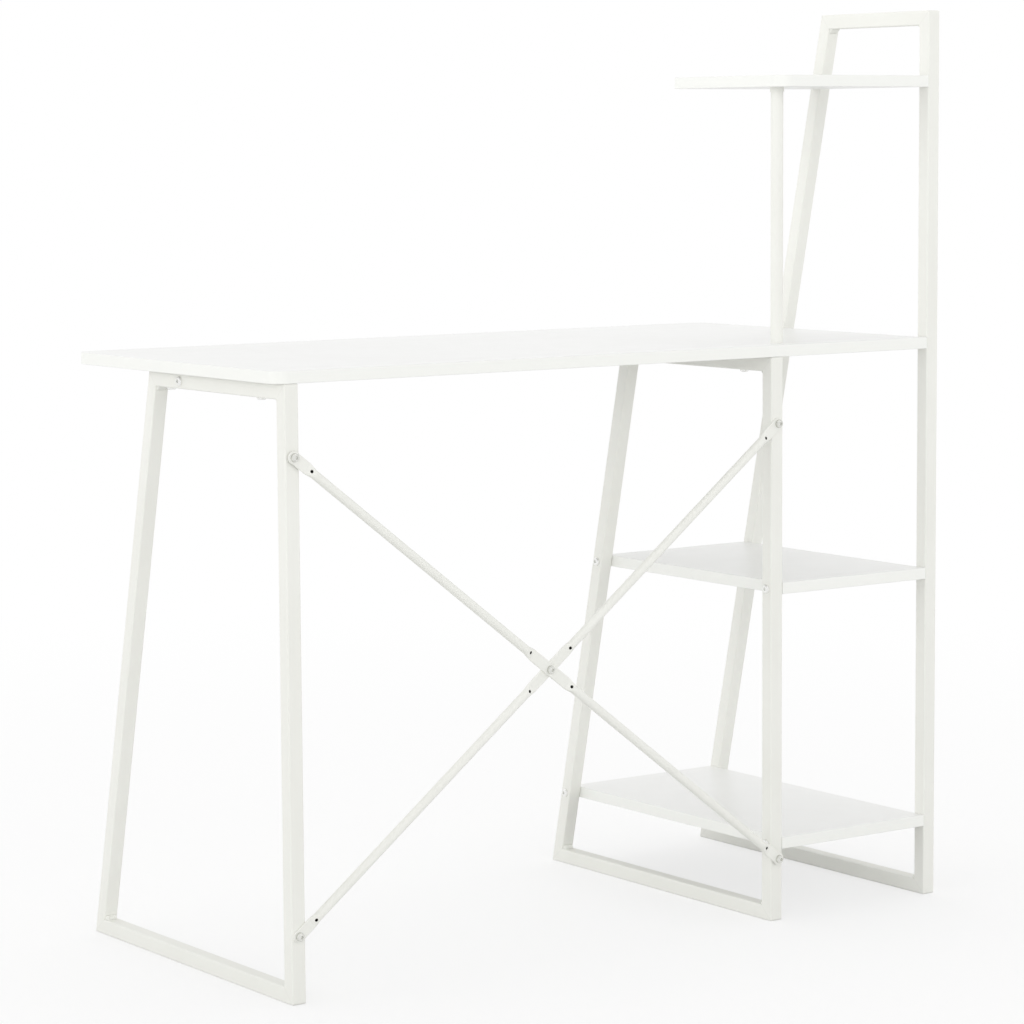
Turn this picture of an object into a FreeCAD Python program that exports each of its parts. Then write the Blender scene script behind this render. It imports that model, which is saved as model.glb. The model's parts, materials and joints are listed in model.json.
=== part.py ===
import FreeCAD, Part
import math
import os
import re

import Sketcher

# Desk with a shelf tower. Three welded frames of square tube, each with an upright on the wall side and a
# sloping leg on the user's side, carry a desktop and three shelves. A crossed pair of round braces stiffens
# the wall side. +Z is up, the user sits on the -Y side, and the shelf tower stands at the -X end.

# Driving sizes in millimetres: alias, value, meaning.
SIZES = (
    ("desk_length", 1020, "free end of the desktop to the outer face of the tall frame"),
    ("desk_depth", 480, "wall side of the uprights to the user's edge of the desktop"),
    ("tall_height", 1170, "floor to the top of the tall frame"),
    ("tall_top_depth", 215, "depth of the tall frame at its top, which sets the slope of all legs"),
    ("desktop_level", 745, "floor to the desktop's top face"),
    ("top_drop", 84, "top of the tall frame down to the top shelf's top face"),
    ("middle_level", 440, "floor to the middle shelf's top face"),
    ("lower_level", 108, "floor to the lower shelf's top face"),
    ("board_thickness", 15, "thickness of the desktop and the shelves"),
    ("board_corner", 20, "plan radius of the boards' free corners"),
    ("board_edge", 0.8, "rounding of the boards' edges"),
    ("desktop_overhang", 12, "desktop beyond the left frame's outer face"),
    ("bay_width", 245, "clear width between the middle and tall frames"),
    ("shelf_inset", 2, "shelf edges behind the sloping legs' outer faces"),
    ("shelf_overlap", 3, "top shelf's free end beyond the shelf bay"),
    ("tube_side", 19, "side of the square tube"),
    ("tube_wall", 1.2, "wall of the square tube"),
    ("tube_corner", 2, "outer corner radius of the square tube"),
    ("frame_corner", 2.5, "rounding of a frame's outer corners, ground after welding"),
    ("post_diameter", 16, "outer diameter of the post"),
    ("post_wall", 1.5, "wall of the post"),
    ("post_end_offset", 23, "post's axis from the top shelf's free end"),
    ("post_edge_offset", 37, "post's axis from the boards' wall edge"),
    ("collar_diameter", 18, "collar on top of the post"),
    ("collar_height", 6, "height of that collar"),
    ("brace_diameter", 11, "outer diameter of the brace tube"),
    ("brace_wall", 1, "wall of the brace tube"),
    ("brace_flat", 2.6, "thickness of the brace where it is pressed flat"),
    ("brace_flat_width", 15, "width of the brace where it is pressed flat"),
    ("brace_upper_drop", 85, "top of the short frames down to the upper brace bolts"),
    ("brace_lower_drop", 26, "lower shelf's top face down to the lower brace bolts"),
    ("end_flat_length", 22, "end bolt to the end of the flat"),
    ("middle_flat_length", 33, "centre bolt to the end of the flat"),
    ("press_length", 12, "length over which the tube changes from flat to round"),
    ("vent_diameter", 4, "vent hole at each change from flat to round"),
    ("bolt_diameter", 6, "shank of every bolt"),
    ("bolt_tip", 3, "bolt end beyond its thread"),
    ("head_diameter", 12, "head of every bolt but the brace bolts"),
    ("head_height", 3.3, "height of that head"),
    ("brace_head_diameter", 10, "head of a brace bolt"),
    ("brace_head_height", 3.7, "height of that head"),
    ("head_round", 2.6, "rounding of every bolt head's rim"),
    ("socket_across", 4, "key socket across its flats"),
    ("socket_depth", 2, "depth of the key socket"),
    ("washer_diameter", 11, "washer under a brace bolt's head"),
    ("washer_thickness", 1, "thickness of that washer"),
    ("nut_across", 10, "brace centre nut across its flats"),
    ("nut_height", 5, "height of that nut"),
    ("insert_diameter", 8, "threaded insert in a board"),
    ("insert_length", 13, "insert in a board's end"),
    ("short_insert_length", 10, "insert in a board's underside"),
    ("rivet_nut_diameter", 9, "threaded rivet in an upright's wall side"),
    ("rivet_nut_length", 12, "length of that rivet nut"),
    ("rivet_bulge_diameter", 11, "its pressed bulge inside the tube"),
    ("rivet_bulge_height", 2, "height of the bulge"),
    ("plug_length", 15, "threaded plug in a tube's end"),
    ("rail_bolt_wall_offset", 66, "first bolt through a top rail from the wall side"),
    ("rail_bolt_leg_offset", 23.5, "second bolt through a top rail from the sloping leg's inner face"),
    ("stretcher_offset", 36, "stretcher's axis from the second bolt through a top rail"),
    ("hole_clearance", 0.3, "radial room round a bolt in a plain hole"),
    ("fit_clearance", 0.05, "radial room in threads and round inserts and plugs"),
    ("overrun", 5, "how far a cut runs past the piece"),
)

# Sizes and places that follow from the driving sizes.
FORMULAS = (
    ("top_level", "tall_height - top_drop", "floor to the top shelf's top face"),
    ("top_shelf_length", "bay_width + shelf_overlap", "tall frame to the top shelf's free end"),
    ("lean_share", "(desk_depth - tall_top_depth) / tall_height", "a leg's travel along Y per unit of Z"),
    ("leg_reach", "tube_side * sqrt(1 + lean_share ^ 2)", "a sloping leg measured along Y"),
    ("bolt_reach", "2 * brace_flat + washer_thickness + brace_head_height", "brace bolts past the uprights"),
    ("tube_reach", "3 * brace_flat / 2 + brace_diameter / 2", "outer brace tube past the uprights"),
    ("plain_end", "(desk_length + head_height) / 2", "X of the desktop's free end"),
    ("wall_y", "(desk_depth - max(bolt_reach; tube_reach)) / 2", "Y of the uprights' wall side"),
    ("user_y", "wall_y - desk_depth", "Y of the desktop's user edge"),
    ("left_x", "plain_end - desktop_overhang - tube_side / 2", "X of the left frame's mid-plane"),
    ("tall_x", "plain_end - desk_length + tube_side / 2", "X of the tall frame's mid-plane"),
    ("middle_x", "tall_x + tube_side + bay_width", "X of the middle frame's mid-plane"),
    ("tower_x", "tall_x + tube_side / 2", "X of the tall frame's inner face"),
    ("bay_x", "middle_x - tube_side / 2", "X of the middle frame's face in the shelf bay"),
    ("short_height", "desktop_level - board_thickness", "height of the left and middle frames"),
    ("upright_y", "wall_y - tube_side / 2", "Y of the uprights' axes"),
    ("rail_level", "short_height - tube_side / 2", "Z of the short frames' top rail axes"),
    ("rail_corner_y", "user_y + lean_share * (short_height - tube_side) + leg_reach",
     "Y of the short frames' inside corner under the top rail"),
    ("rail_bolt_wall_y", "wall_y - rail_bolt_wall_offset", "Y of the first bolt through a top rail"),
    ("rail_bolt_user_y", "rail_corner_y + rail_bolt_leg_offset", "Y of the second bolt"),
    ("stretcher_y", "rail_bolt_user_y + stretcher_offset", "Y of the stretcher's axis"),
    ("stretcher_length", "left_x - middle_x - tube_side", "clear width between the left and middle frames"),
    ("post_x", "tower_x + top_shelf_length - post_end_offset", "X of the post's axis"),
    ("post_y", "wall_y - post_edge_offset", "Y of the post's axis"),
    ("top_underside", "top_level - board_thickness", "Z of the top shelf's underside"),
    ("post_length", "top_underside - collar_height - desktop_level", "length of the post"),
    ("brace_upper_level", "short_height - brace_upper_drop", "floor to the upper brace bolts"),
    ("brace_lower_level", "lower_level - brace_lower_drop", "floor to the lower brace bolts"),
    ("brace_run", "left_x - middle_x", "brace bolts' distance along X"),
    ("brace_rise", "brace_upper_level - brace_lower_level", "brace bolts' distance along Z"),
    ("brace_span", "sqrt(brace_run ^ 2 + brace_rise ^ 2)", "distance between a brace's end bolts"),
    ("brace_x", "(left_x + middle_x) / 2", "X of the crossing"),
    ("brace_z", "(brace_upper_level + brace_lower_level) / 2", "Z of the crossing"),
    ("bolt_hole", "bolt_diameter + 2 * hole_clearance", "plain hole for a bolt"),
    ("thread_hole", "bolt_diameter + 2 * fit_clearance", "threaded hole for a bolt"),
    ("insert_hole", "insert_diameter + 2 * fit_clearance", "hole for an insert"),
    ("shelf_shank", "tube_side + insert_length + bolt_tip", "bolt through a tube into a board's end"),
    ("end_hole_depth", "insert_length + 2 * bolt_tip", "hole for an insert and the bolt's tip"),
)
RAIL_BOLT_DEPTHS = ("rail_bolt_wall_y", "rail_bolt_user_y")
# Boards by name: level of the top face, the end away from the tall frame.
SHELVES = {
    "top_shelf": ("top_level", "tower_x + top_shelf_length"),
    "middle_shelf": ("middle_level", "bay_x"),
    "lower_shelf": ("lower_level", "bay_x"),
}

TURN_TO_PLUS_X = (FreeCAD.Vector(0, 1, 0), 90)
TURN_TO_MINUS_X = (FreeCAD.Vector(0, 1, 0), -90)
TURN_TO_PLUS_Y = (FreeCAD.Vector(1, 0, 0), -90)
TURN_UPSIDE_DOWN = (FreeCAD.Vector(1, 0, 0), 180)
UPRIGHT = (FreeCAD.Vector(0, 0, 1), 0)
PARALLEL_SHARE = 0.999
DIAGONAL_SHARE = math.sqrt(0.5)

doc = FreeCAD.newDocument("DeskWithShelves")
sheet = doc.addObject("Spreadsheet::Sheet", "Sizes")
nodes = []


def fill_sheet():
    """Writes the driving sizes as numbers and the derived ones as formulas, each with its alias."""
    rows = [(alias, str(value), words) for alias, value, words in SIZES]
    rows += [(alias, "=" + formula, words) for alias, formula, words in FORMULAS]
    for row, (alias, content, words) in enumerate(rows, start=1):
        sheet.set(f"A{row}", words)
        sheet.set(f"B{row}", content)
        sheet.setAlias(f"B{row}", alias)
    doc.recompute()


def size(alias):
    """The number that the sheet holds under an alias."""
    return float(getattr(sheet, alias))


def bind(item, prop, formula):
    """Ties a property to a formula in the sheet's aliases."""
    names = {entry[0] for entry in SIZES + FORMULAS}
    tied = re.sub(r"[a-z_]+", lambda word: "Sizes." + word.group() if word.group() in names else word.group(),
                  formula)
    item.setExpression(prop, tied)


def place(item, x="0", y="0", z="0", turn=UPRIGHT):
    """Sets an item's turn and ties its position to the sheet."""
    item.Placement = FreeCAD.Placement(FreeCAD.Vector(0, 0, 0), FreeCAD.Rotation(*turn))
    for axis, formula in (("x", x), ("y", y), ("z", z)):
        bind(item, f"Placement.Base.{axis}", formula)


def keep(item, label):
    """Names a finished sub-part and lists it for export."""
    item.Label = label
    nodes.append(item)
    return item


def new_body(label):
    body = doc.addObject("PartDesign::Body", label)
    body.Label = label
    return body


def new_sketch(body, role, offset="0"):
    """A sketch on one of the body's own planes, moved along the plane's normal."""
    plane = next(item for item in body.Origin.OriginFeatures if item.Role == role)
    sketch = body.newObject("Sketcher::SketchObject", body.Name + "_sketch")
    sketch.AttachmentSupport = [(plane, "")]
    sketch.MapMode = "FlatFace"
    bind(sketch, "AttachmentOffset.Base.z", offset)
    return sketch


def tie_point(sketch, geometry, position, x, y):
    """Holds a point of a sketch at two formulas from the sketch's origin."""
    for kind, formula in (("DistanceX", x), ("DistanceY", y)):
        index = sketch.addConstraint(Sketcher.Constraint(kind, -1, 1, geometry, position, 1.0))
        bind(sketch, f"Constraints[{index}]", formula)


def add_polygon(sketch, corners):
    """A closed outline through corners given as pairs of formulas."""
    count = len(corners)
    first = sketch.GeometryCount
    turns = [2 * math.pi * index / count for index in range(count)]
    spots = [FreeCAD.Vector(math.cos(turn), math.sin(turn), 0) for turn in turns]
    for index in range(count):
        sketch.addGeometry(Part.LineSegment(spots[index], spots[(index + 1) % count]), False)
    for index in range(count):
        follower = first + (index + 1) % count
        sketch.addConstraint(Sketcher.Constraint("Coincident", first + index, 2, follower, 1))
    for index, (x, y) in enumerate(corners):
        tie_point(sketch, first + index, 1, x, y)


def add_circle(sketch, x, y, diameter):
    circle = Part.Circle(FreeCAD.Vector(0, 0, 0), FreeCAD.Vector(0, 0, 1), 1.0)
    index = sketch.addGeometry(circle, False)
    tie_point(sketch, index, 3, x, y)
    width = sketch.addConstraint(Sketcher.Constraint("Diameter", index, 2.0))
    bind(sketch, f"Constraints[{width}]", diameter)


def pad(body, sketch, length, midplane=False):
    feature = body.newObject("PartDesign::Pad", body.Name + "_pad")
    feature.Profile = sketch
    feature.Midplane = midplane
    bind(feature, "Length", length)
    doc.recompute()
    return feature


def cut(body, sketch, depth=None, midplane=False, forward=False):
    """Cuts a sketch out of a body, right through where no depth is given, and checks that it bit."""
    before = body.Shape.Volume
    feature = body.newObject("PartDesign::Pocket", body.Name + "_pocket")
    feature.Profile = sketch
    feature.Midplane = midplane
    feature.Reversed = forward
    if depth is None:
        feature.Type = "ThroughAll"
    else:
        bind(feature, "Length", depth)
    doc.recompute()
    if not body.Shape.Volume < before:
        raise RuntimeError(f"{body.Label}: a cut removed nothing")
    return feature


def drill(body, role, spots, diameter, offset="0", depth=None, midplane=False, forward=False):
    """Round holes of one diameter at spots in a plane of the body."""
    sketch = new_sketch(body, role, offset)
    for x, y in spots:
        add_circle(sketch, x, y, diameter)
    return cut(body, sketch, depth, midplane, forward)


def fillet(body, base, chosen, radius):
    """Rounds the edges of a feature that a test picks."""
    names = [f"Edge{index}" for index, edge in enumerate(base.Shape.Edges, start=1) if chosen(edge)]
    feature = body.newObject("PartDesign::Fillet", body.Name + "_fillet")
    feature.Base = (base, names)
    bind(feature, "Radius", radius)
    doc.recompute()
    return feature


def turned(label, corners):
    """A body turned about Z from an outline of radius and height formulas."""
    body = new_body(label)
    sketch = new_sketch(body, "XZ_Plane")
    add_polygon(sketch, corners)
    feature = body.newObject("PartDesign::Revolution", body.Name + "_turn")
    feature.Profile = sketch
    feature.ReferenceAxis = (sketch, ["V_Axis"])
    feature.Angle = 360
    doc.recompute()
    return body


def ring(label, outer, inner, height):
    """A turned sleeve from two diameters, standing on z = 0."""
    inner_radius = f"({inner}) / 2"
    outer_radius = f"({outer}) / 2"
    return turned(label, [(inner_radius, "0"), (outer_radius, "0"), (outer_radius, height),
                          (inner_radius, height)])


def hexagon(across):
    """Corners of a hexagon from its width across the flats."""
    tip = f"{across} / sqrt(3)"
    side = f"{across} / 2"
    near = f"{across} / sqrt(12)"
    return [(tip, "0"), (near, side), ("-" + near, side), ("-" + tip, "0"), ("-" + near, "-" + side),
            (near, "-" + side)]


def bolt(label, shank, head="head"):
    """A round-headed bolt with a key socket, its head seated on z = 0 and its shank below."""
    thick = "bolt_diameter / 2"
    wide = f"{head}_diameter / 2"
    height = f"{head}_height"
    low = f"-({shank})"
    body = turned(label, [("0", low), (thick, low), (thick, "0"), (wide, "0"), (wide, height), ("0", height)])
    top = size(height)
    rim = fillet(body, body.Tip, lambda edge: math.isclose(edge.BoundBox.ZMin, top) and edge.isClosed(),
                 "head_round")
    body.Tip = rim
    socket = new_sketch(body, "XY_Plane", height)
    add_polygon(socket, hexagon("socket_across"))
    cut(body, socket, "socket_depth")
    return body


def group(label, pattern, places):
    """One node of several copies of a fastener: places hold x, y, z formulas and a turn."""
    links = []
    for x, y, z, turn in places:
        link = doc.addObject("App::Link", pattern.Name + "_copy")
        link.LinkedObject = pattern
        place(link, x, y, z, turn)
        links.append(link)
    compound = doc.addObject("Part::Compound", label)
    compound.Links = links
    doc.recompute()
    return keep(compound, label)


def leg_outer(z):
    """Y formula of the sloping legs' outer face at a height."""
    return f"user_y + lean_share * ({z})"


def leg_inner(z):
    return f"user_y + lean_share * ({z}) + leg_reach"


def leg_axis(z):
    return f"user_y + lean_share * ({z}) + leg_reach / 2"


def mid_level(level):
    """Z formula of the middle of a board's thickness."""
    return f"{level} - board_thickness / 2"


def shelf_depth(level):
    """Depth formula of a shelf whose user edge follows the sloping legs."""
    return f"desk_depth - lean_share * {level} - shelf_inset"


def rounded_side(name, x, corners):
    """A block with a frame's side outline, wider than the tube, its four corners rounded."""
    body = new_body(f"{name}_frame_side")
    place(body, x)
    profile = new_sketch(body, "YZ_Plane")
    add_polygon(profile, corners)
    block = pad(body, profile, "tube_side + 2 * overrun", midplane=True)
    fillet(body, block, lambda edge: abs(edge.tangentAt(edge.FirstParameter).x) > PARALLEL_SHARE,
           "frame_corner")
    return body


def frame_tube(label, x, outline, bore, axis):
    """A mitred square tube: its side outline, its bore's outline and the direction it runs in."""
    body = new_body(f"{label}_tube")
    place(body, x)
    profile = new_sketch(body, "YZ_Plane")
    add_polygon(profile, outline)
    solid = pad(body, profile, "tube_side", midplane=True)
    run = FreeCAD.Vector(*axis)
    run.normalize()
    fillet(body, solid, lambda edge: abs(edge.tangentAt(edge.FirstParameter).dot(run)) > PARALLEL_SHARE,
           "tube_corner")
    hollow = new_sketch(body, "YZ_Plane")
    add_polygon(hollow, bore)
    cut(body, hollow, "tube_side - 2 * tube_wall", midplane=True)
    return body


def frame(name, x, height):
    """Upright, sloping leg, top rail and foot rail of one welded frame."""
    inner_top = f"{height} - tube_side"
    wall_low = ("wall_y", "0")
    wall_low_inner = ("wall_y - tube_side", "tube_side")
    wall_top = ("wall_y", height)
    wall_top_inner = ("wall_y - tube_side", inner_top)
    user_low = ("user_y", "0")
    user_low_inner = (leg_inner("tube_side"), "tube_side")
    user_top = (leg_outer(height), height)
    user_top_inner = (leg_inner(inner_top), inner_top)

    bore_out = "wall_y - tube_wall"
    bore_in = "wall_y - tube_side + tube_wall"
    above = f"{height} + overrun"
    below = "-overrun"
    skin = "leg_reach * tube_wall / tube_side"
    past_wall = "wall_y + overrun"
    past_user = "user_y - overrun"
    rail_bottom = f"{inner_top} + tube_wall"
    rail_top = f"{height} - tube_wall"
    tubes = {
        "upright": frame_tube(
            f"{name}_frame_upright", x, [wall_low, wall_top, wall_top_inner, wall_low_inner],
            [(bore_out, below), (bore_out, above), (bore_in, above), (bore_in, below)], (0, 0, 1)),
        "leg": frame_tube(
            f"{name}_frame_leg", x, [user_low, user_low_inner, user_top_inner, user_top],
            [(f"{leg_outer(below)} + {skin}", below), (f"{leg_inner(below)} - {skin}", below),
             (f"{leg_inner(above)} - {skin}", above), (f"{leg_outer(above)} + {skin}", above)],
            (0, size("lean_share"), 1)),
        "top_rail": frame_tube(
            f"{name}_frame_top_rail", x, [wall_top, user_top, user_top_inner, wall_top_inner],
            [(past_wall, rail_bottom), (past_wall, rail_top),
             (past_user, rail_top), (past_user, rail_bottom)], (0, 1, 0)),
        "foot_rail": frame_tube(
            f"{name}_frame_foot_rail", x, [wall_low, wall_low_inner, user_low_inner, user_low],
            [(past_wall, "tube_wall"), (past_wall, "tube_side - tube_wall"),
             (past_user, "tube_side - tube_wall"), (past_user, "tube_wall")], (0, 1, 0)),
    }
    side = rounded_side(name, x, [wall_low, wall_top, user_top, user_low])
    for piece, tube in tubes.items():
        label = f"{name}_frame_{piece}"
        ground = keep(doc.addObject("Part::Common", label), label)
        ground.Base = tube
        ground.Tool = side
    return tubes


def board(label, level, far_end, depth, rounded):
    """A board from the tall frame to its far end; rounded picks the plan corners that are rounded."""
    body = new_body(label)
    place(body, z=f"{level} - board_thickness")
    plan = new_sketch(body, "XY_Plane")
    back = f"wall_y - ({depth})"
    add_polygon(plan, [("tower_x", back), (far_end, back), (far_end, "wall_y"), ("tower_x", "wall_y")])
    last = pad(body, plan, "board_thickness")
    if rounded:
        middle = last.Shape.BoundBox.Center
        last = fillet(body, last, lambda edge: abs(edge.tangentAt(edge.FirstParameter).z) > PARALLEL_SHARE
                      and rounded(edge.CenterOfMass - middle), "board_corner")
    fillet(body, last, lambda edge: edge.BoundBox.ZLength < size("board_edge"), "board_edge")
    return keep(body, label)


def build_frames():
    frames = {name: frame(name, f"{name}_x", height) for name, height in (
        ("left", "short_height"), ("middle", "short_height"), ("tall", "tall_height"))}
    rail_spots = [("0", y) for y in RAIL_BOLT_DEPTHS]
    stretcher_spots = [("stretcher_y", "rail_level")]
    brace_spots = [("0", "brace_upper_level"), ("0", "brace_lower_level")]
    for name in ("left", "middle"):
        rail = frames[name]["top_rail"]
        drill(rail, "XY_Plane", rail_spots, "bolt_hole", "rail_level", midplane=True)
        drill(rail, "YZ_Plane", stretcher_spots, "bolt_hole", midplane=True)
        drill(frames[name]["upright"], "XZ_Plane", brace_spots, "rivet_nut_diameter + 2 * fit_clearance",
              "-upright_y")
    levels = {"middle": ["middle_level", "lower_level"],
              "tall": ["middle_level", "lower_level", "desktop_level", "top_level"]}
    for name, carried in levels.items():
        heights = [mid_level(level) for level in carried]
        upright_spots = [("upright_y", z) for z in heights]
        leg_spots = [(leg_axis(z), z) for z in heights]
        drill(frames[name]["upright"], "YZ_Plane", upright_spots, "bolt_hole", midplane=True)
        drill(frames[name]["leg"], "YZ_Plane", leg_spots, "bolt_hole", midplane=True)


def end_spots(level):
    """Where a tower board's end is bolted, at half its own thickness: to the upright and to the leg."""
    half = "board_thickness / 2"
    return [("upright_y", half), (leg_axis(mid_level(level)), half)]


def build_boards():
    desktop = board("desktop", "desktop_level", "plain_end", "desk_depth",
                    lambda offset: offset.x > 0 or offset.y < 0)
    drill(desktop, "YZ_Plane", end_spots("desktop_level"), "insert_hole", "tower_x", "end_hole_depth",
          forward=True)
    rail_spots = [(x, y) for x in ("left_x", "middle_x") for y in RAIL_BOLT_DEPTHS]
    blind = "short_insert_length + fit_clearance"
    drill(desktop, "XY_Plane", rail_spots, "insert_hole", depth=blind, forward=True)
    drill(desktop, "XY_Plane", [("post_x", "post_y")], "bolt_hole", forward=True)
    for label, (level, far_end) in SHELVES.items():
        free = label == "top_shelf"
        rounded = (lambda offset: offset.x > 0) if free else None
        shelf = board(label, level, far_end, shelf_depth(level), rounded)
        drill(shelf, "YZ_Plane", end_spots(level), "insert_hole", "tower_x", "end_hole_depth", forward=True)
        if free:
            drill(shelf, "XY_Plane", [("post_x", "post_y")], "insert_hole", depth=blind, forward=True)
        else:
            drill(shelf, "YZ_Plane", end_spots(level), "insert_hole", far_end, "end_hole_depth")


def build_stretcher():
    """Square tube under the desktop, with a threaded plug and a bolt at each end."""
    body = new_body("desk_stretcher")
    place(body, "middle_x + tube_side / 2", "stretcher_y", "rail_level")
    half = "tube_side / 2"
    profile = new_sketch(body, "YZ_Plane")
    add_polygon(profile, [("-" + half, "-" + half), (half, "-" + half), (half, half), ("-" + half, half)])
    solid = pad(body, profile, "stretcher_length")
    fillet(body, solid, lambda edge: edge.BoundBox.XLength > size("tube_side"), "tube_corner")
    void = "(tube_side / 2 - tube_wall)"
    hollow = new_sketch(body, "YZ_Plane")
    add_polygon(hollow, [("-" + void, "-" + void), (void, "-" + void), (void, void), ("-" + void, void)])
    cut(body, hollow, forward=True)
    keep(body, "desk_stretcher")

    plug = new_body("stretcher_plug")
    face = new_sketch(plug, "XY_Plane")
    edge = "(tube_side / 2 - tube_wall - fit_clearance)"
    add_polygon(face, [("-" + edge, "-" + edge), (edge, "-" + edge), (edge, edge), ("-" + edge, edge)])
    add_circle(face, "0", "0", "thread_hole")
    pad(plug, face, "plug_length")
    group("stretcher_plugs", plug, [
        ("left_x - tube_side / 2", "stretcher_y", "rail_level", TURN_TO_MINUS_X),
        ("middle_x + tube_side / 2", "stretcher_y", "rail_level", TURN_TO_PLUS_X)])
    group("stretcher_bolts", bolt("stretcher_bolt", "tube_side + plug_length"), [
        ("left_x + tube_side / 2", "stretcher_y", "rail_level", TURN_TO_PLUS_X),
        ("middle_x - tube_side / 2", "stretcher_y", "rail_level", TURN_TO_MINUS_X)])


def build_post():
    """Round post from the desktop to the top shelf's free corner, with its collar and fixings."""
    bore = "post_diameter - 2 * post_wall"
    post = keep(ring("post", "post_diameter", bore, "post_length"), "post")
    place(post, "post_x", "post_y", "desktop_level")
    collar = keep(ring("post_collar", "collar_diameter", "bolt_hole", "collar_height"), "post_collar")
    place(collar, "post_x", "post_y", "desktop_level + post_length")
    plug = ring("post_plug", bore + " - 2 * fit_clearance", "thread_hole", "plug_length")
    group("post_plugs", plug, [
        ("post_x", "post_y", "desktop_level", UPRIGHT),
        ("post_x", "post_y", "desktop_level + post_length - plug_length", UPRIGHT)])
    stud_length = "plug_length + collar_height + short_insert_length"
    radius = "bolt_diameter / 2"
    stud = turned("post_stud", [("0", "0"), (radius, "0"), (radius, stud_length), ("0", stud_length)])
    place(keep(stud, "post_stud"), "post_x", "post_y", "desktop_level + post_length - plug_length")
    post_bolt = keep(bolt("post_bolt", "board_thickness + plug_length"), "post_bolt")
    place(post_bolt, "post_x", "post_y", "short_height", TURN_UPSIDE_DOWN)
    insert = ring("post_insert", "insert_diameter", "thread_hole", "short_insert_length")
    place(keep(insert, "post_insert"), "post_x", "post_y", "top_underside")


def flat_section(x, thickness, width):
    """Section of a tube pressed flat: two straight sides joined by two half rounds."""
    half = thickness / 2
    straight = width / 2 - half
    corners = [FreeCAD.Vector(x, half, -straight), FreeCAD.Vector(x, half, straight),
               FreeCAD.Vector(x, -half, straight), FreeCAD.Vector(x, -half, -straight)]
    tips = [FreeCAD.Vector(x, 0, straight + half), FreeCAD.Vector(x, 0, -straight - half)]
    edges = [Part.LineSegment(corners[0], corners[1]), Part.Arc(corners[1], tips[0], corners[2]),
             Part.LineSegment(corners[2], corners[3]), Part.Arc(corners[3], tips[1], corners[0])]
    return Part.Wire([edge.toShape() for edge in edges])


def round_section(x, diameter):
    """Section of the round tube in four quarter arcs, which match the flat section's four sides."""
    radius = diameter / 2
    reach = radius * DIAGONAL_SHARE
    corners = [FreeCAD.Vector(x, reach, -reach), FreeCAD.Vector(x, reach, reach),
               FreeCAD.Vector(x, -reach, reach), FreeCAD.Vector(x, -reach, -reach)]
    tips = [FreeCAD.Vector(x, radius, 0), FreeCAD.Vector(x, 0, radius),
            FreeCAD.Vector(x, -radius, 0), FreeCAD.Vector(x, 0, -radius)]
    arcs = [Part.Arc(corners[index], tips[index], corners[(index + 1) % 4]) for index in range(4)]
    return Part.Wire([arc.toShape() for arc in arcs])


def across_hole(x, diameter, low, high):
    """A round cutter along Y at a place on the brace's axis."""
    return Part.makeCylinder(diameter / 2, high - low, FreeCAD.Vector(x, low, 0), FreeCAD.Vector(0, 1, 0))


def prism(section, reach):
    """A solid that carries a section along X."""
    return Part.Face(section).extrude(FreeCAD.Vector(reach, 0, 0))


def round_run(stations, thickness, width, diameter):
    """From one flat to the next: opened from flat to round, straight, and pressed flat again."""
    first, opened, closing, last = stations
    sections = [flat_section(first, thickness, width), round_section(opened, diameter),
                round_section(closing, diameter), flat_section(last, thickness, width)]
    opening = Part.makeLoft(sections[:2], True, True)
    pressing = Part.makeLoft(sections[2:], True, True)
    return opening.fuse([prism(sections[1], closing - opened), pressing])


def brace_shape():
    """Round tube along X about its middle, pressed flat at both ends and in the middle, vents towards +Y."""
    half_span = size("brace_span") / 2
    flat, width, outer = size("brace_flat"), size("brace_flat_width"), size("brace_diameter")
    wall, press, overrun = size("brace_wall"), size("press_length"), size("overrun")
    inner_start = size("middle_flat_length")
    outer_start = half_span - size("end_flat_length")
    shape = prism(flat_section(-inner_start, flat, width), 2 * inner_start)
    for side in (1, -1):
        stations = [side * x for x in (inner_start, inner_start + press, outer_start - press, outer_start)]
        end = FreeCAD.Vector(side * half_span, -flat / 2, 0)
        shape = shape.fuse([round_run(stations, flat, width, outer),
                            prism(flat_section(stations[-1], flat, width), side * size("end_flat_length")),
                            Part.makeCylinder(width / 2, flat, end, FreeCAD.Vector(0, 1, 0))])
        shape = shape.cut(round_run(stations, flat - 2 * wall, width - 2 * wall, outer - 2 * wall))
        for station in (inner_start + press / 2, outer_start - press / 2):
            shape = shape.cut(across_hole(side * station, size("vent_diameter"), 0, outer))
        shape = shape.cut(across_hole(side * half_span, size("bolt_hole"), -overrun, overrun))
    return shape.cut(across_hole(0, size("bolt_hole"), -overrun, overrun))


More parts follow.
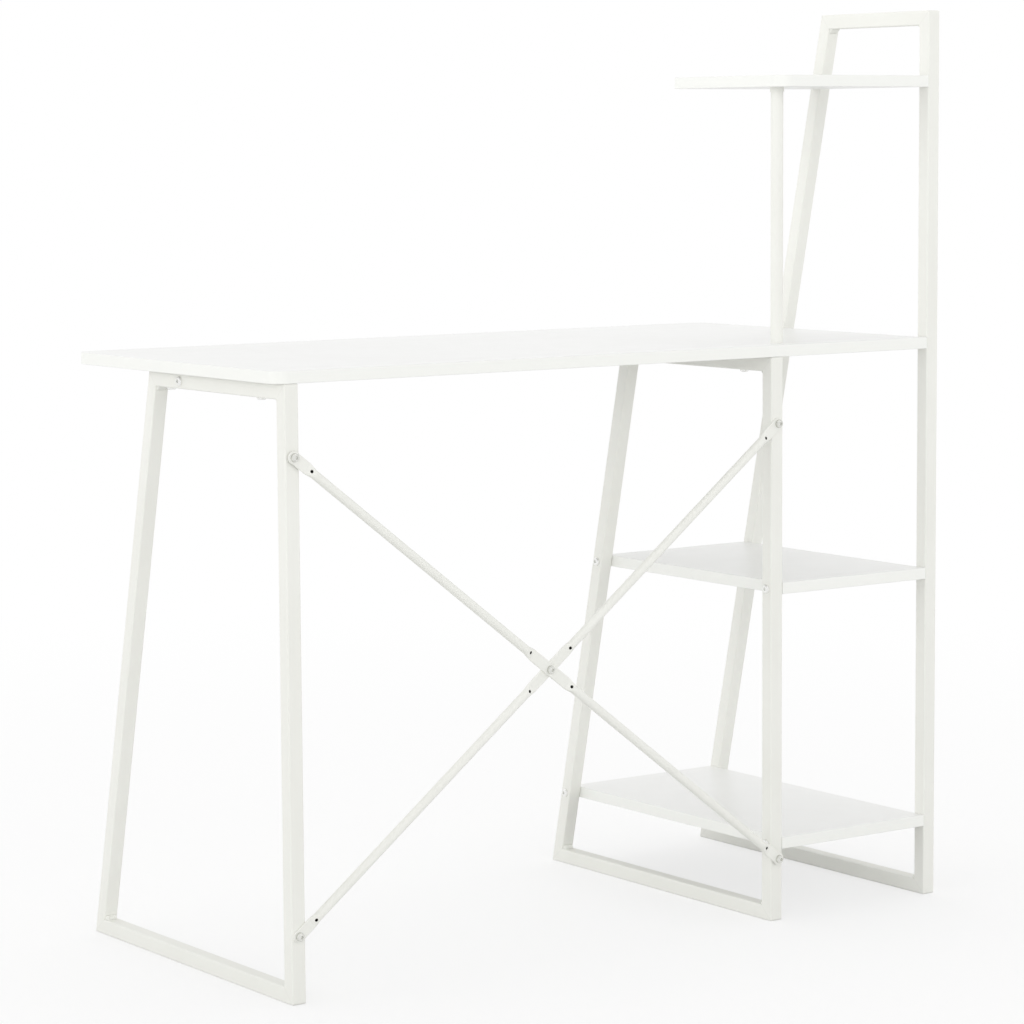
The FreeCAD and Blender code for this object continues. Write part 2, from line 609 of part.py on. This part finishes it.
def build_braces():
    """The crossed braces, the one seen falling from the left frame lying outside the other."""
    tilt = math.degrees(math.atan2(size("brace_rise"), size("brace_run")))
    for label, layers, turn in (("brace_falling", 3, -tilt), ("brace_rising", 1, tilt)):
        brace = keep(doc.addObject("Part::Feature", label), label)
        brace.Shape = brace_shape()
        depth = size("wall_y") + layers * size("brace_flat") / 2
        spot = FreeCAD.Vector(size("brace_x"), depth, size("brace_z"))
        brace.Placement = FreeCAD.Placement(spot, FreeCAD.Rotation(FreeCAD.Vector(0, 1, 0), turn))

    ends = [("left_x", "brace_upper_level", 2), ("middle_x", "brace_lower_level", 2),
            ("left_x", "brace_lower_level", 1), ("middle_x", "brace_upper_level", 1)]
    outside = "wall_y + {} * brace_flat"
    washer = ring("brace_washer", "washer_diameter", "bolt_hole", "washer_thickness")
    washer_places = [(x, outside.format(layers), z, TURN_TO_PLUS_Y) for x, z, layers in ends]
    washer_places += [("brace_x", outside.format(2), "brace_z", TURN_TO_PLUS_Y),
                      ("brace_x", "wall_y - washer_thickness", "brace_z", TURN_TO_PLUS_Y)]
    group("brace_washers", washer, washer_places)
    spacer = ring("brace_spacer", "washer_diameter", "bolt_hole", "brace_flat")
    spaced = [(x, "wall_y", z, TURN_TO_PLUS_Y) for x, z, layers in ends if layers == 2]
    group("brace_spacers", spacer, spaced)
    end_shank = "brace_flat + washer_thickness + rivet_nut_length"
    end_bolt = bolt("brace_end_bolt", end_shank, "brace_head")
    group("brace_end_bolts", end_bolt, [
        (x, outside.format(layers) + " + washer_thickness", z, TURN_TO_PLUS_Y) for x, z, layers in ends])
    bore, body, bulge = "thread_hole / 2", "rivet_nut_diameter / 2", "rivet_bulge_diameter / 2"
    shoulder = "-tube_wall"
    under = "-tube_wall - rivet_bulge_height"
    rivet_nut = turned("brace_rivet_nut", [
        (bore, "0"), (body, "0"), (body, shoulder), (bulge, shoulder), (bulge, under), (body, under),
        (body, "-rivet_nut_length"), (bore, "-rivet_nut_length")])
    group("brace_rivet_nuts", rivet_nut, [(x, "wall_y", z, TURN_TO_PLUS_Y) for x, z, layers in ends])

    grip = "2 * brace_flat + 2 * washer_thickness + nut_height + bolt_tip"
    centre_bolt = keep(bolt("brace_centre_bolt", grip, "brace_head"), "brace_centre_bolt")
    place(centre_bolt, "brace_x", outside.format(2) + " + washer_thickness", "brace_z", TURN_TO_PLUS_Y)
    nut = new_body("brace_centre_nut")
    face = new_sketch(nut, "XY_Plane")
    add_polygon(face, hexagon("nut_across"))
    add_circle(face, "0", "0", "thread_hole")
    pad(nut, face, "nut_height")
    place(keep(nut, "brace_centre_nut"), "brace_x", "wall_y - washer_thickness - nut_height", "brace_z",
          TURN_TO_PLUS_Y)


def build_board_fasteners():
    """Bolts and inserts that hold the boards to the frames."""
    rail_spots = [(x, y) for x in ("left_x", "middle_x") for y in RAIL_BOLT_DEPTHS]
    rail_underside = "short_height - tube_side"
    rail_bolt = bolt("rail_bolt", "tube_side + short_insert_length")
    group("rail_bolts", rail_bolt, [(x, y, rail_underside, TURN_UPSIDE_DOWN) for x, y in rail_spots])
    rail_insert = ring("rail_bolt_insert", "insert_diameter", "thread_hole", "short_insert_length")
    group("rail_bolt_inserts", rail_insert, [(x, y, "short_height", UPRIGHT) for x, y in rail_spots])

    shelf_bolt = bolt("shelf_bolt", "shelf_shank")
    insert = ring("end_insert", "insert_diameter", "thread_hole", "insert_length")
    carried = {"desktop_end": "desktop_level"}
    carried.update({label: level for label, (level, far_end) in SHELVES.items()})
    for label, level in carried.items():
        z = mid_level(level)
        depths = ["upright_y", leg_axis(z)]
        bolts = [("tall_x - tube_side / 2", y, z, TURN_TO_MINUS_X) for y in depths]
        inserts = [("tower_x", y, z, TURN_TO_PLUS_X) for y in depths]
        if SHELVES.get(label, ("", ""))[1] == "bay_x":
            bolts += [("middle_x + tube_side / 2", y, z, TURN_TO_PLUS_X) for y in depths]
            inserts += [("bay_x", y, z, TURN_TO_MINUS_X) for y in depths]
        group(f"{label}_bolts", shelf_bolt, bolts)
        group(f"{label}_inserts", insert, inserts)


def check_and_write():
    """Stops at any failed object or bad shape, then writes one file for each sub-part."""
    doc.recompute()
    for item in doc.Objects:
        if {"Invalid", "Error"} & set(item.State):
            raise RuntimeError(f"{item.Label} failed: {item.State}")
    for node in nodes:
        if node.Shape.isNull() or not node.Shape.isValid() or not node.Shape.Solids:
            raise RuntimeError(f"{node.Label} has no valid solid")
    os.makedirs("parts", exist_ok=True)
    for node in nodes:
        node.Shape.exportStep(f"parts/{node.Label}.step")
        print(f"{node.Label}: {len(node.Shape.Solids)} solids, {node.Shape.Volume:.1f} mm3")


fill_sheet()
build_frames()
build_boards()
build_stretcher()
build_post()
build_braces()
build_board_fasteners()
check_and_write()
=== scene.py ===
import json
import math

import bmesh
import bpy
from mathutils import Matrix, Vector


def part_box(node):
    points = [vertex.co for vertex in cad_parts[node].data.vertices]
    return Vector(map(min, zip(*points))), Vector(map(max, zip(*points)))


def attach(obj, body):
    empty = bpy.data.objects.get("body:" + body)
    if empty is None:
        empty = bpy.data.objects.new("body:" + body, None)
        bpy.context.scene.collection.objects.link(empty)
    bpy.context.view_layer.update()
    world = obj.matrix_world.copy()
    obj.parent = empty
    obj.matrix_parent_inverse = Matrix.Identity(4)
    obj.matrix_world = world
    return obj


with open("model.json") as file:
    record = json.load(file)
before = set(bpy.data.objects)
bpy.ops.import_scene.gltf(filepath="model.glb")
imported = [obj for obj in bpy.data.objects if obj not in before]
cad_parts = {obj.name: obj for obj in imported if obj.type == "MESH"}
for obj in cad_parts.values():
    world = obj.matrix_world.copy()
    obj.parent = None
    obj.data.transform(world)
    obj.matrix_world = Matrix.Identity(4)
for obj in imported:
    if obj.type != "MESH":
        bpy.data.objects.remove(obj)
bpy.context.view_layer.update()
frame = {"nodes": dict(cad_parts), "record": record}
nodes = frame["nodes"]
scene = bpy.context.scene

# Places and sizes on the desk, in metres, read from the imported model.
UPRIGHT_LOW, UPRIGHT_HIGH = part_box("left_frame_upright")
LOWER_SHELF_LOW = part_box("lower_shelf")[0]
TOP_SHELF_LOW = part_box("top_shelf")[0]
TUBE = UPRIGHT_HIGH.x - UPRIGHT_LOW.x
WALL_Y = UPRIGHT_HIGH.y
USER_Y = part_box("desktop")[0].y
SHORT_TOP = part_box("left_frame_top_rail")[1].z
TALL_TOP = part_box("tall_frame_top_rail")[1].z

# Run over rise of the sloping legs, from the shelves that end at them, and a leg's depth along Y.
LEAN = (TOP_SHELF_LOW.y - LOWER_SHELF_LOW.y) / (TOP_SHELF_LOW.z - LOWER_SHELF_LOW.z)
LEG_REACH = TUBE * math.sqrt(1 + LEAN ** 2)

# Fasteners of the cross brace, whose nickel is darker than that of the other bolts.
BRACE_HARDWARE = ("brace_end_bolts", "brace_centre_bolt", "brace_washers", "brace_spacers",
                  "brace_centre_nut")

# Colours. A pair holds the two tones that a finish drifts between.
WHITE = (1.0, 1.0, 1.0, 1.0)
PAINT_TONES = (0.828, 0.83, 0.785), (0.846, 0.849, 0.806)
PAINT_SEAM = (0.42, 0.42, 0.4)
# Inside the braces' bores and holes: bare steel, darkened to near black as painted shade.
BORE_SHADE_AND_BARE_STEEL = (0.03, 0.03, 0.028)
BOARD_TONES = (0.852, 0.853, 0.838), (0.868, 0.87, 0.857)
EDGE_BAND = (0.885, 0.892, 0.86)
EDGE_JOINT = (0.55, 0.55, 0.53)
NICKEL_TONES = (0.9, 0.902, 0.882), (0.82, 0.822, 0.802)
BRACE_NICKEL_TONES = (0.8, 0.803, 0.767), (0.67, 0.673, 0.64)
ZINC_TONES = (0.58, 0.6, 0.63), (0.47, 0.49, 0.52)
FLOOR_BOUNCE = (0.74, 0.74, 0.735)
FLOOR_SEEN = (0.97, 0.97, 0.97)

# Gloss: the ends that roughness wanders between, or a middle value and the shares of it at both ends.
PAINT_ROUGHNESS = (0.52, 0.62)
PAINT_SPECULAR = 0.35
BOARD_ROUGHNESS = (0.28, 0.34)
NICKEL_ROUGHNESS = 0.2
ZINC_ROUGHNESS = 0.36
PLATING_ROUGHNESS_SHARES = (0.8, 1.25)

# Noise in the finishes: values at which tones and roughness reach their ends, and clouds per metre.
TONE_ENDS = (0.3, 0.7)
ROUGHNESS_ENDS = (0.25, 0.75)
PAINT_TONE_SCALE = 9.0
PAINT_GLOSS_SCALE = 60.0
PEEL_SCALE = 420.0
BOARD_TONE_SCALE = 5.0
BOARD_GLOSS_SCALE = 35.0
RIPPLE_SCALE = 110.0
PLATING_TONE_SCALE = 420.0
PLATING_GLOSS_SCALE = 900.0
TURNING_SCALE = 5200.0

# Relief of the finishes in metres, and the shares of the paint's that are orange peel, on the frames
# and on the smoother post, stretcher and braces.
PEEL_DEPTH = 0.00005
PEEL_SHARE = 0.35
SMOOTH_PEEL_SHARE = 0.1
RIPPLE_DEPTH = 0.00001
TURNING_DEPTH = 0.00003

# Marks at the mitres: metres over which they fade, where they end, and how far they colour and sink.
SEAM_FADE = (0.0004, 0.0016)
SEAM_END_SHARES = (1.02, 1.1)
SEAM_COLOUR_SHARE = 0.05
SEAM_SINK_SHARE = 0.5

# Metres behind its tube's axis, seen along its normal, over which a face turns from painted to bare steel
# that is darkened to near black as painted shade.
BORE_FADE = 0.0015

# Turns of a board's surface, as its normal's upright part, at which the edge band and its joint lie.
BAND_TURNS = (0.35, 0.6)
JOINT_START_TURNS = (0.6, 0.8)
JOINT_END_TURNS = (0.86, 0.97)
JOINT_COLOUR_SHARE = 0.12

# Fillet welds: legs on the two tubes, depth of the root, length across the tube and the ripples on it,
# then the legs' share at a bead's ends and their growth from there.
WELD_LEG = 0.0056
WELD_ROOT = 0.0003
WELD_INSET = 0.0036
WELD_LENGTH = TUBE - WELD_INSET
WELD_STATIONS = 40
WELD_STEPS = 6
WELD_RIPPLES = 6.5
WELD_RIPPLE_SHARE = 0.07
WELD_BULGE_SHARE = 0.1
WELD_END_SHARE = 0.5
WELD_GROWTH = 5.0

# The floor in metres, and how it whitens between two distances from the desk's middle.
FLOOR_HALF = 9.0
FLOOR_DROP = 0.0003
WHITENING_REACH = (0.6, 3.0)
WHITENING_SHARES = (0.55, 1.0)

# Light of the studio's white surroundings, level with the desk and overhead, and as they are seen.
HORIZON_LIGHT = 1.55
ZENITH_LIGHT = 0.5
SEEN_LIGHT = 1.0

# Lamps: name, place and size in metres, power in watts, and whether gloss shows them.
LAMP_TARGET = Vector((0.0, 0.0, 0.5))
LAMPS = (
    ("front", (3.2, 7.0, 2.7), (5.0, 3.6), 50.0, False),
    ("side", (6.5, -0.6, 2.0), (3.5, 3.5), 36.0, False),
    ("over", (-0.6, -0.8, 4.4), (3.2, 3.2), 24.0, True),
)

# The photo's camera: place in metres, turns in degrees, and a lens whose focal length is in pixels of the
# photo, with a sensor in millimetres.
CAMERA_PLACE = Vector((2.57785, 3.61585, 1.0164))
CAMERA_HEADING = 35.345
CAMERA_DIP = 6.279
CAMERA_ROLL = -0.377
FOCAL_PIXELS = 3455.0
PHOTO_PIXELS = 1024.0
SENSOR_WIDTH = 36.0
CLIP_END = 60.0


class Graph:
    """A material's node tree with short calls for making and joining nodes."""

    def __init__(self, name):
        self.material = bpy.data.materials.new(name)
        self.material.use_nodes = True
        self.tree = self.material.node_tree
        self.tree.nodes.clear()
        self.out = self.node("ShaderNodeOutputMaterial")
        self.shader = self.node("ShaderNodeBsdfPrincipled")
        self.link(self.shader.outputs["BSDF"], self.out.inputs["Surface"])
        self.coords = self.node("ShaderNodeTexCoord").outputs["Object"]
        self.normal = self.node("ShaderNodeNewGeometry").outputs["Normal"]

    def node(self, kind, **settings):
        made = self.tree.nodes.new(kind)
        for key, value in settings.items():
            setattr(made, key, value)
        return made

    def link(self, source, target):
        self.tree.links.new(source, target)

    def put(self, target, value):
        """Joins an output to a socket, or sets the socket to a plain value."""
        if isinstance(value, bpy.types.NodeSocket):
            self.link(value, target)
        else:
            target.default_value = value

    def math(self, operation, first, second=0.0):
        made = self.node("ShaderNodeMath", operation=operation)
        self.put(made.inputs[0], first)
        self.put(made.inputs[1], second)
        return made.outputs[0]

    def vector(self, operation, first, second=(0.0, 0.0, 0.0)):
        made = self.node("ShaderNodeVectorMath", operation=operation)
        self.put(made.inputs[0], first)
        self.put(made.inputs[1], second)
        return made.outputs["Value" if operation in ("DOT_PRODUCT", "LENGTH") else "Vector"]

    def noise(self, scale, detail, roughness=0.5):
        """Cloudy values round a half, with a scale in clouds per metre."""
        made = self.node("ShaderNodeTexNoise")
        made.inputs["Scale"].default_value = scale
        made.inputs["Detail"].default_value = detail
        made.inputs["Roughness"].default_value = roughness
        self.link(self.coords, made.inputs["Vector"])
        return made.outputs["Fac"]

    def spread(self, value, low, high, to_low=0.0, to_high=1.0):
        """Carries a value from one range to another, held at both ends."""
        made = self.node("ShaderNodeMapRange", clamp=True, interpolation_type="SMOOTHSTEP")
        self.put(made.inputs["Value"], value)
        ends = {"From Min": low, "From Max": high, "To Min": to_low, "To Max": to_high}
        for name, number in ends.items():
            made.inputs[name].default_value = number
        return made.outputs["Result"]

    def mix(self, share, first, second):
        """Mixes two colours, which are inputs 6 and 7 and output 2 of a Mix node."""
        made = self.node("ShaderNodeMix", data_type="RGBA")
        self.put(made.inputs["Factor"], share)
        for socket, colour in zip((made.inputs[6], made.inputs[7]), (first, second)):
            self.put(socket, colour if isinstance(colour, bpy.types.NodeSocket) else (*colour, 1.0))
        return made.outputs[2]

    def drift(self, tones, scale, detail, roughness=0.5):
        """A colour that drifts between two tones in soft clouds."""
        return self.mix(self.spread(self.noise(scale, detail, roughness), *TONE_ENDS), *tones)

    def wander(self, ends, scale, detail):
        """A roughness that wanders between two ends."""
        return self.spread(self.noise(scale, detail), *ROUGHNESS_ENDS, *ends)

    def bump(self, height, distance, strength):
        made = self.node("ShaderNodeBump")
        made.inputs["Strength"].default_value = strength
        made.inputs["Distance"].default_value = distance
        self.link(height, made.inputs["Height"])
        return made.outputs["Normal"]

    def finish(self, colour, roughness, normal, **values):
        """Joins a finish to the shader; further values carry its sockets' names, with underscores."""
        self.put(self.shader.inputs["Base Color"], colour)
        self.put(self.shader.inputs["Roughness"], roughness)
        self.link(normal, self.shader.inputs["Normal"])
        for name, value in values.items():
            self.shader.inputs[name.replace("_", " ")].default_value = value
        return self.material


def leg_y(z):
    """Y of the sloping legs' outer face at a height."""
    return USER_Y + LEAN * z


def frame_corners(top):
    """Outer and inner ends, as Y and Z, of a frame's mitres: wall side low and high, then user's side."""
    inset = top - TUBE
    return [((WALL_Y, 0.0), (WALL_Y - TUBE, TUBE)),
            ((WALL_Y, top), (WALL_Y - TUBE, inset)),
            ((leg_y(0.0), 0.0), (leg_y(TUBE) + LEG_REACH, TUBE)),
            ((leg_y(top), top), (leg_y(inset) + LEG_REACH, inset))]


def seam_share(graph, corners):
    """1 on the mitre planes of a frame's corners and 0 away from them."""
    total = 0.0
    for outer, inner in corners:
        along = Vector((0.0, inner[0] - outer[0], inner[1] - outer[1]))
        across = Vector((1.0, 0.0, 0.0)).cross(along.normalized())
        offset = graph.vector("SUBTRACT", graph.coords, (0.0, *outer))
        away = graph.math("ABSOLUTE", graph.vector("DOT_PRODUCT", offset, tuple(across)))
        line = graph.spread(away, *SEAM_FADE, 1.0, 0.0)
        reach = graph.vector("LENGTH", graph.vector("MULTIPLY", offset, (0.0, 1.0, 1.0)))
        ends = [along.length * share for share in SEAM_END_SHARES]
        near = graph.spread(reach, *ends, 1.0, 0.0)
        total = graph.math("MAXIMUM", total, graph.math("MULTIPLY", line, near))
    return total


def bore_share(graph, middle, axis):
    """1 on the faces that look towards a tube's axis, its bore and holes, and 0 on its outside."""
    offset = graph.vector("SUBTRACT", graph.coords, tuple(middle))
    along = graph.vector("DOT_PRODUCT", offset, tuple(axis))
    lean = graph.vector("DOT_PRODUCT", graph.normal, tuple(axis))
    outward = graph.math("SUBTRACT", graph.vector("DOT_PRODUCT", offset, graph.normal),
                         graph.math("MULTIPLY", along, lean))
    return graph.spread(outward, -BORE_FADE, 0.0, 1.0, 0.0)


def paint(name, corners=(), peel_share=PEEL_SHARE, tube=None):
    """White powder coat: a faint orange-peel skin, slight unevenness and thin marks at welded mitres.

    A tube, given as a point on its axis and the axis' direction, is bare steel inside, darkened to near
    black as painted shade in its bore and holes."""
    graph = Graph(name)
    colour = graph.drift(PAINT_TONES, PAINT_TONE_SCALE, detail=3.0)
    height = graph.math("MULTIPLY", graph.noise(PEEL_SCALE, detail=1.0), peel_share)
    if corners:
        seam = seam_share(graph, corners)
        colour = graph.mix(graph.math("MULTIPLY", seam, SEAM_COLOUR_SHARE), colour, PAINT_SEAM)
        height = graph.math("SUBTRACT", height, graph.math("MULTIPLY", seam, SEAM_SINK_SHARE))
    if tube:
        # Bore and holes: bare steel darkened to near black, painted shade where little light reaches
        # inside.
        colour = graph.mix(bore_share(graph, *tube), colour, BORE_SHADE_AND_BARE_STEEL)
    roughness = graph.wander(PAINT_ROUGHNESS, PAINT_GLOSS_SCALE, detail=3.0)
    relief = graph.bump(height, PEEL_DEPTH, strength=0.5)
    return graph.finish(colour, roughness, relief, Specular_IOR_Level=PAINT_SPECULAR)


def brace_paint(name, rise_sign):
    """Paint for one brace, whose axis is a diagonal of its box."""
    low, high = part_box(name)
    axis = Vector((high.x - low.x, 0.0, (high.z - low.z) * rise_sign)).normalized()
    return paint("white_" + name, peel_share=SMOOTH_PEEL_SHARE, tube=((low + high) / 2, axis))


def board_facing(name):
    """White facing foil: satin, very finely textured, with a slightly cleaner and brighter edge band."""
    graph = Graph(name)
    upright = graph.math("ABSOLUTE", graph.vector("DOT_PRODUCT", graph.normal, (0.0, 0.0, 1.0)))
    face = graph.drift(BOARD_TONES, BOARD_TONE_SCALE, detail=3.0)
    colour = graph.mix(graph.spread(upright, *BAND_TURNS, 1.0, 0.0), face, EDGE_BAND)
    joint = graph.math("MULTIPLY", graph.spread(upright, *JOINT_START_TURNS),
                       graph.spread(upright, *JOINT_END_TURNS, 1.0, 0.0))
    colour = graph.mix(graph.math("MULTIPLY", joint, JOINT_COLOUR_SHARE), colour, EDGE_JOINT)
    roughness = graph.wander(BOARD_ROUGHNESS, BOARD_GLOSS_SCALE, detail=1.0)
    relief = graph.bump(graph.noise(RIPPLE_SCALE, detail=1.0), RIPPLE_DEPTH, strength=0.5)
    return graph.finish(colour, roughness, relief)


def plating(name, tones, middle_roughness):
    """Plated steel: fine turning marks, cloudy tone and uneven gloss."""
    graph = Graph(name)
    tone = graph.drift(tones, PLATING_TONE_SCALE, detail=4.0, roughness=0.6)
    ends = [middle_roughness * share for share in PLATING_ROUGHNESS_SHARES]
    roughness = graph.wander(ends, PLATING_GLOSS_SCALE, detail=3.0)
    relief = graph.bump(graph.noise(TURNING_SCALE, detail=2.0), TURNING_DEPTH, strength=0.4)
    return graph.finish(tone, roughness, relief, Metallic=1.0)


def seen_rays(tree):
    """1 for rays that show a surface, straight or in gloss or glass, and 0 for rays that light others."""
    rays = tree.nodes.new("ShaderNodeLightPath")
    seen = rays.outputs["Is Camera Ray"]
    for name in ("Is Glossy Ray", "Is Transmission Ray"):
        either = tree.nodes.new("ShaderNodeMath")
        either.operation = "MAXIMUM"
        tree.links.new(seen, either.inputs[0])
        tree.links.new(rays.outputs[name], either.inputs[1])
        seen = either.outputs[0]
    return seen


def floor_material():
    """Pale floor that whitens away from the desk and keeps its shadow."""
    graph = Graph("studio_floor")
    graph.tree.nodes.remove(graph.shader)
    seen = seen_rays(graph.tree)
    diffuse = graph.node("ShaderNodeBsdfDiffuse")
    graph.link(graph.mix(seen, FLOOR_BOUNCE, FLOOR_SEEN), diffuse.inputs["Color"])
    glow = graph.node("ShaderNodeEmission")
    far = graph.spread(graph.vector("LENGTH", graph.coords), *WHITENING_REACH, *WHITENING_SHARES)
    blend = graph.node("ShaderNodeMixShader")
    graph.link(graph.math("MULTIPLY", seen, far), blend.inputs[0])
    graph.link(diffuse.outputs[0], blend.inputs[1])
    graph.link(glow.outputs[0], blend.inputs[2])
    graph.link(blend.outputs[0], graph.out.inputs["Surface"])
    return graph.material


def build_floor():
    mesh = bpy.data.meshes.new("floor")
    corners = [(-FLOOR_HALF, -FLOOR_HALF, 0.0), (FLOOR_HALF, -FLOOR_HALF, 0.0),
               (FLOOR_HALF, FLOOR_HALF, 0.0), (-FLOOR_HALF, FLOOR_HALF, 0.0)]
    mesh.from_pydata(corners, [], [(0, 1, 2, 3)])
    floor = bpy.data.objects.new("floor", mesh)
    floor.location.z = -FLOOR_DROP
    floor.data.materials.append(floor_material())
    scene.collection.objects.link(floor)


def build_world():
    """White surroundings, whose light on the desk falls from the horizon to overhead."""
    world = bpy.data.worlds.new("studio")
    scene.world = world
    world.use_nodes = True
    tree = world.node_tree
    tree.nodes.clear()
    direction = tree.nodes.new("ShaderNodeTexCoord")
    parts = tree.nodes.new("ShaderNodeSeparateXYZ")
    fall = tree.nodes.new("ShaderNodeMapRange")
    fall.inputs["To Min"].default_value = HORIZON_LIGHT
    fall.inputs["To Max"].default_value = ZENITH_LIGHT
    light = tree.nodes.new("ShaderNodeBackground")
    light.inputs["Color"].default_value = WHITE
    white = tree.nodes.new("ShaderNodeBackground")
    white.inputs["Color"].default_value = WHITE
    white.inputs["Strength"].default_value = SEEN_LIGHT
    blend = tree.nodes.new("ShaderNodeMixShader")
    out = tree.nodes.new("ShaderNodeOutputWorld")
    tree.links.new(direction.outputs["Generated"], parts.inputs[0])
    tree.links.new(parts.outputs["Z"], fall.inputs["Value"])
    tree.links.new(fall.outputs["Result"], light.inputs["Strength"])
    tree.links.new(seen_rays(tree), blend.inputs[0])
    tree.links.new(light.outputs[0], blend.inputs[1])
    tree.links.new(white.outputs[0], blend.inputs[2])
    tree.links.new(blend.outputs[0], out.inputs["Surface"])


def add_lamp(name, place, size, power, in_gloss):
    """A soft area lamp aimed at the desk; gloss shows it, or only the white surroundings in its place."""
    data = bpy.data.lights.new(name, "AREA")
    data.shape = "RECTANGLE"
    data.size, data.size_y = size
    data.energy = power
    lamp = bpy.data.objects.new(name, data)
    lamp.visible_glossy = in_gloss
    lamp.location = place
    lamp.rotation_mode = "QUATERNION"
    lamp.rotation_quaternion = (LAMP_TARGET - Vector(place)).to_track_quat("-Z", "Y")
    scene.collection.objects.link(lamp)


def build_lights():
    for lamp in LAMPS:
        add_lamp(*lamp)


def build_camera():
    """The photo's viewpoint: position, direction, tilt and lens."""
    data = bpy.data.cameras.new("photo_camera")
    data.sensor_width = SENSOR_WIDTH
    data.lens = FOCAL_PIXELS / PHOTO_PIXELS * SENSOR_WIDTH
    data.clip_end = CLIP_END
    camera = bpy.data.objects.new("photo_camera", data)
    heading, dip, roll = (math.radians(turn) for turn in (CAMERA_HEADING, CAMERA_DIP, CAMERA_ROLL))
    level = math.cos(dip)
    ahead = Vector((-math.sin(heading) * level, -math.cos(heading) * level, -math.sin(dip)))
    right = Vector((-math.cos(heading), math.sin(heading), 0.0))
    up = right.cross(ahead)
    tilted_right = right * math.cos(roll) + up * math.sin(roll)
    tilted_up = up * math.cos(roll) - right * math.sin(roll)
    turned = Matrix((tilted_right, tilted_up, -ahead)).transposed()
    camera.matrix_world = Matrix.Translation(CAMERA_PLACE) @ turned.to_4x4()
    scene.collection.objects.link(camera)
    scene.camera = camera


def add_bead(shape, corner, first, second):
    """One weld bead along X in the corner from which two tubes run off in the given directions."""
    outward = (first + second).normalized()
    rings = []
    for station in range(WELD_STATIONS + 1):
        share = station / WELD_STATIONS
        ripple = math.sin(share * math.tau * WELD_RIPPLES) * WELD_RIPPLE_SHARE
        fade = min(1.0, WELD_END_SHARE + WELD_GROWTH * min(share, 1.0 - share))
        leg = WELD_LEG * fade * (1.0 + ripple)
        spot = corner + Vector(((share - 0.5) * WELD_LENGTH, 0.0, 0.0))
        ring = [shape.verts.new(spot - outward * WELD_ROOT)]
        for step in range(WELD_STEPS + 1):
            turn = step / WELD_STEPS
            face = first * (1.0 - turn) + second * turn
            bulge = outward * math.sin(turn * math.pi) * WELD_BULGE_SHARE
            ring.append(shape.verts.new(spot + (face + bulge) * leg))
        rings.append(ring)
    count = len(rings[0])
    for near, far in zip(rings, rings[1:]):
        for index in range(count):
            after = (index + 1) % count
            shape.faces.new((near[index], near[after], far[after], far[index]))
    shape.faces.new(reversed(rings[0]))
    shape.faces.new(rings[-1])


def add_welds(name, middle_x, top, finish):
    """Painted fillet welds in the four inside corners of a frame: low ripples across the tube's width."""
    shape = bmesh.new()
    up = Vector((0.0, 0.0, 1.0))
    up_leg = Vector((0.0, LEAN, 1.0)).normalized()
    to_wall = Vector((0.0, 1.0, 0.0))
    inner_ends = [inner for outer, inner in frame_corners(top)]
    runs = [(-to_wall, up), (-to_wall, -up), (to_wall, up_leg), (to_wall, -up_leg)]
    for inner, (first, second) in zip(inner_ends, runs):
        add_bead(shape, Vector((middle_x, *inner)), first, second)
    bmesh.ops.recalc_face_normals(shape, faces=shape.faces)
    for face in shape.faces:
        face.smooth = True
    mesh = bpy.data.meshes.new(name)
    shape.to_mesh(mesh)
    shape.free()
    mesh.materials.append(finish)
    piece = bpy.data.objects.new(name, mesh)
    scene.collection.objects.link(piece)
    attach(piece, "root")


def build_welds():
    finish = paint("white_weld")
    for frame_name in ("left", "middle", "tall"):
        low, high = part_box(frame_name + "_frame_top_rail")
        add_welds(frame_name + "_frame_welds", (low.x + high.x) / 2, high.z, finish)


def dress_nodes():
    """Gives every node its own finish, or else the finish of its material slot."""
    by_slot = {"white_board": board_facing("white_board"),
               "white_frame": paint("white_tube", peel_share=SMOOTH_PEEL_SHARE),
               "nickel_steel": plating("nickel_steel", NICKEL_TONES, NICKEL_ROUGHNESS),
               "zinc_steel": plating("zinc_steel", ZINC_TONES, ZINC_ROUGHNESS)}
    short_paint = paint("white_short_frame", frame_corners(SHORT_TOP))
    tall_paint = paint("white_tall_frame", frame_corners(TALL_TOP))
    brace_nickel = plating("brace_nickel_steel", BRACE_NICKEL_TONES, NICKEL_ROUGHNESS)
    by_node = {name: brace_nickel for name in BRACE_HARDWARE}
    by_node["brace_falling"] = brace_paint("brace_falling", 1)
    by_node["brace_rising"] = brace_paint("brace_rising", -1)
    for part in frame["record"]["subparts"]:
        name = part["node"]
        if "_frame_" in name:
            by_node[name] = tall_paint if name.startswith("tall") else short_paint
        data = nodes[name].data
        data.materials.clear()
        data.materials.append(by_node.get(name) or by_slot[part["material_slot"]])


dress_nodes()
build_welds()
build_floor()
build_world()
build_lights()
build_camera()
scene.view_settings.view_transform = "Standard"
